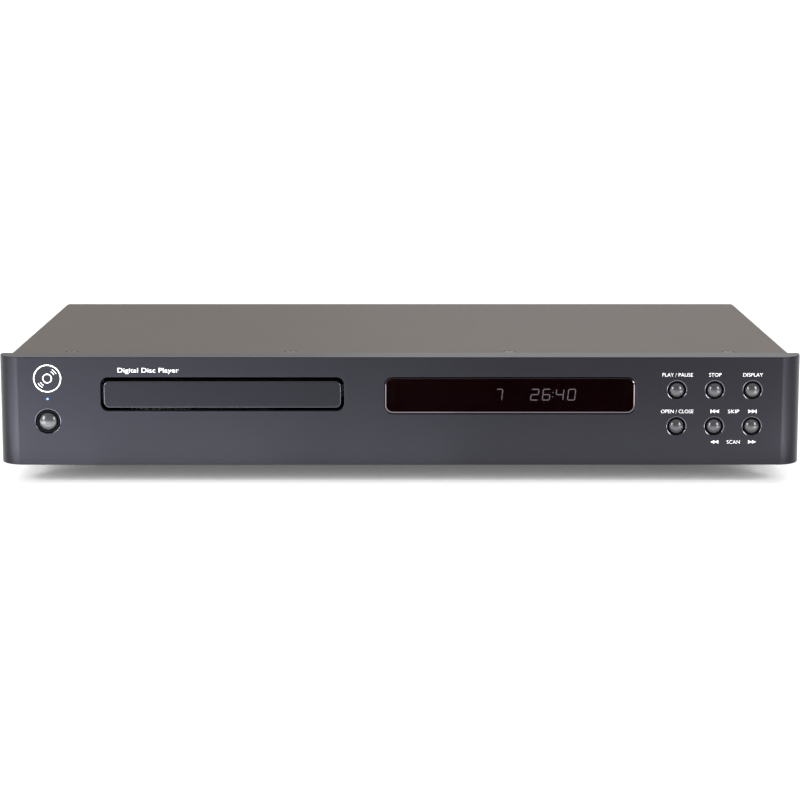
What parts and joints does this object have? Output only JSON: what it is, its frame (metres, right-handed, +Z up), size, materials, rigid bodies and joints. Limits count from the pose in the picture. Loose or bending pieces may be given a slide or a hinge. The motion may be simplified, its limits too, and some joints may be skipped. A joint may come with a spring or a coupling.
{
  "type": "compact disc player",
  "caption": "Slim full-width disc player with a sliding disc tray, dark display window, round push buttons, a screwed steel cover and a working loader, clamp and pickup drive inside.",
  "frame": {"origin": "on the surface that the feet stand on, midway across the width and midway between the frontmost button and the ends of the rear jacks", "axes": "+X to the right seen from the front, +Y to the back, +Z up"},
  "size_m": [0.435, 0.249, 0.07],
  "materials": {
    "graphite_paint": "satin",
    "cover_paint": "satin",
    "zinc_steel": "satin",
    "bright_steel": "polished",
    "black_plastic": "matte",
    "grey_plastic": "matte",
    "white_plastic": "satin",
    "button_plastic": "gloss",
    "smoked_acrylic": "gloss",
    "tube_glass": "gloss",
    "blue_led": "gloss",
    "circuit_board": "satin",
    "rubber": "matte",
    "ribbon_white": "matte",
    "lamination": "satin",
    "jack_white": "satin"
  },
  "bodies": {
    "case": {"bottom_chassis": "zinc_steel", "rear_panel": "cover_paint", "top_cover": "cover_paint", "front_panel": "graphite_paint", "front_plate": "zinc_steel", "display_window": "smoked_acrylic", "display_module": "tube_glass", "front_board": "circuit_board", "power_key_board": "circuit_board", "key_guide": "black_plastic", "power_guide": "black_plastic", "main_board": "circuit_board", "supply_board": "circuit_board", "transformer": "lamination", "front_ribbon": "ribbon_white", "pickup_ribbon": "ribbon_white", "inlet_wire": "black_plastic", "mains_inlet": "black_plastic", "line_out_left": "jack_white", "line_out_right": "jack_white", "coaxial_out": "jack_white", "optical_out": "black_plastic", "foot_front_left": "rubber", "foot_front_right": "rubber", "foot_rear_left": "rubber", "foot_rear_right": "rubber", "power_led": "blue_led", "loader_frame": "black_plastic", "clamp_bridge": "zinc_steel", "loading_motor": "zinc_steel", "drive_belt": "rubber", "cover_screw_1": "zinc_steel", "cover_screw_2": "zinc_steel", "cover_screw_3": "zinc_steel", "cover_screw_4": "zinc_steel"},
    "tray_drawer": {"tray": "grey_plastic", "tray_front": "graphite_paint"},
    "drive_gear": {"drive_gear": "white_plastic"},
    "pulley_gear": {"pulley_gear": "white_plastic"},
    "motor_pulley": {"motor_pulley": "white_plastic"},
    "cam_slider": {"cam_slider": "white_plastic"},
    "traverse": {"traverse_frame": "grey_plastic", "spindle_motor": "zinc_steel", "guide_rod_left": "bright_steel", "guide_rod_right": "bright_steel", "sled_motor": "zinc_steel"},
    "sled": {"pickup_sled": "zinc_steel"},
    "lens": {"pickup_lens": "black_plastic"},
    "sled_gear": {"sled_gear": "white_plastic"},
    "sled_motor_pinion": {"sled_motor_pinion": "white_plastic"},
    "turntable": {"turntable": "black_plastic"},
    "clamper": {"clamper": "white_plastic"},
    "optical_shutter": {"optical_shutter": "grey_plastic"},
    "power_button": {"power_button": "button_plastic"},
    "play_button": {"play_button": "button_plastic"},
    "stop_button": {"stop_button": "button_plastic"},
    "display_button": {"display_button": "button_plastic"},
    "open_close_button": {"open_close_button": "button_plastic"},
    "skip_back_button": {"skip_back_button": "button_plastic"},
    "skip_forward_button": {"skip_forward_button": "button_plastic"}
  },
  "joints": [
    {"name": "tray_slide", "type": "slide", "parent": "case", "child": "tray_drawer", "axis": [0, -1, 0], "range_m": [0, 0.14]},
    {"name": "drive_gear_spin", "type": "hinge", "parent": "case", "child": "drive_gear", "pos_m": [-0.14, -0.087, 0.042], "axis": [0, 0, 1], "continuous": true},
    {"name": "pulley_gear_spin", "type": "hinge", "parent": "case", "child": "pulley_gear", "pos_m": [-0.12109, -0.09033, 0.035], "axis": [0, 0, 1], "continuous": true},
    {"name": "motor_pulley_spin", "type": "hinge", "parent": "case", "child": "motor_pulley", "pos_m": [-0.074, -0.09, 0.0335], "axis": [0, 0, 1], "continuous": true},
    {"name": "traverse_lift", "type": "hinge", "parent": "case", "child": "traverse", "pos_m": [-0.096, 0.064, 0.03425], "axis": [-1, 0, 0], "range_deg": [0, 4]},
    {"name": "cam_slide", "type": "slide", "parent": "case", "child": "cam_slider", "axis": [1, 0, 0], "range_m": [0, 0.018]},
    {"name": "sled_slide", "type": "slide", "parent": "traverse", "child": "sled", "axis": [0, 0.9976, 0.0698], "range_m": [0, 0.035]},
    {"name": "sled_gear_spin", "type": "hinge", "parent": "traverse", "child": "sled_gear", "pos_m": [-0.1288, 0.00488, 0.03388], "axis": [0, -0.0698, 0.9976], "continuous": true},
    {"name": "sled_motor_spin", "type": "hinge", "parent": "traverse", "child": "sled_motor_pinion", "pos_m": [-0.1288, 0.01493, 0.03358], "axis": [0, -0.0698, 0.9976], "continuous": true},
    {"name": "lens_focus", "type": "slide", "parent": "sled", "child": "lens", "axis": [0, -0.0698, 0.9976], "range_m": [-0.0005, 0.0005], "stiffness_N_per_m": 60},
    {"name": "turntable_spin", "type": "hinge", "parent": "traverse", "child": "turntable", "pos_m": [-0.096, -0.04597, 0.04435], "axis": [0, -0.0698, 0.9976], "continuous": true},
    {"name": "clamper_spin", "type": "hinge", "parent": "case", "child": "clamper", "pos_m": [-0.096, -0.045, 0.061], "axis": [0, 0, 1], "continuous": true},
    {"name": "optical_shutter_hinge", "type": "hinge", "parent": "case", "child": "optical_shutter", "pos_m": [0.008, 0.111, 0.0345], "axis": [-1, 0, 0], "range_deg": [0, 80], "stiffness_Nm_per_rad": 0.0005, "springref_deg": -20.05},
    {"name": "power_button_press", "type": "slide", "parent": "case", "child": "power_button", "axis": [0, 1, 0], "range_m": [0, 0.001], "stiffness_N_per_m": 1500, "springref_m": -0.0005},
    {"name": "play_button_press", "type": "slide", "parent": "case", "child": "play_button", "axis": [0, 1, 0], "range_m": [0, 0.0008], "stiffness_N_per_m": 1500, "springref_m": -0.0005},
    {"name": "stop_button_press", "type": "slide", "parent": "case", "child": "stop_button", "axis": [0, 1, 0], "range_m": [0, 0.0008], "stiffness_N_per_m": 1500, "springref_m": -0.0005},
    {"name": "display_button_press", "type": "slide", "parent": "case", "child": "display_button", "axis": [0, 1, 0], "range_m": [0, 0.0008], "stiffness_N_per_m": 1500, "springref_m": -0.0005},
    {"name": "open_close_button_press", "type": "slide", "parent": "case", "child": "open_close_button", "axis": [0, 1, 0], "range_m": [0, 0.0008], "stiffness_N_per_m": 1500, "springref_m": -0.0005},
    {"name": "skip_back_button_press", "type": "slide", "parent": "case", "child": "skip_back_button", "axis": [0, 1, 0], "range_m": [0, 0.0008], "stiffness_N_per_m": 1500, "springref_m": -0.0005},
    {"name": "skip_forward_button_press", "type": "slide", "parent": "case", "child": "skip_forward_button", "axis": [0, 1, 0], "range_m": [0, 0.0008], "stiffness_N_per_m": 1500, "springref_m": -0.0005}
  ],
  "couplings": [
    {"joint": "drive_gear_spin", "follows": "tray_slide", "rad_per_m": 111.11},
    {"joint": "pulley_gear_spin", "follows": "tray_slide", "rad_per_m": -333.33},
    {"joint": "motor_pulley_spin", "follows": "tray_slide", "rad_per_m": -1000},
    {"joint": "cam_slide", "follows": "traverse_lift", "m_per_rad": 0.25782},
    {"joint": "sled_gear_spin", "follows": "sled_slide", "rad_per_m": 208.33},
    {"joint": "sled_motor_spin", "follows": "sled_slide", "rad_per_m": -625}
  ]
}
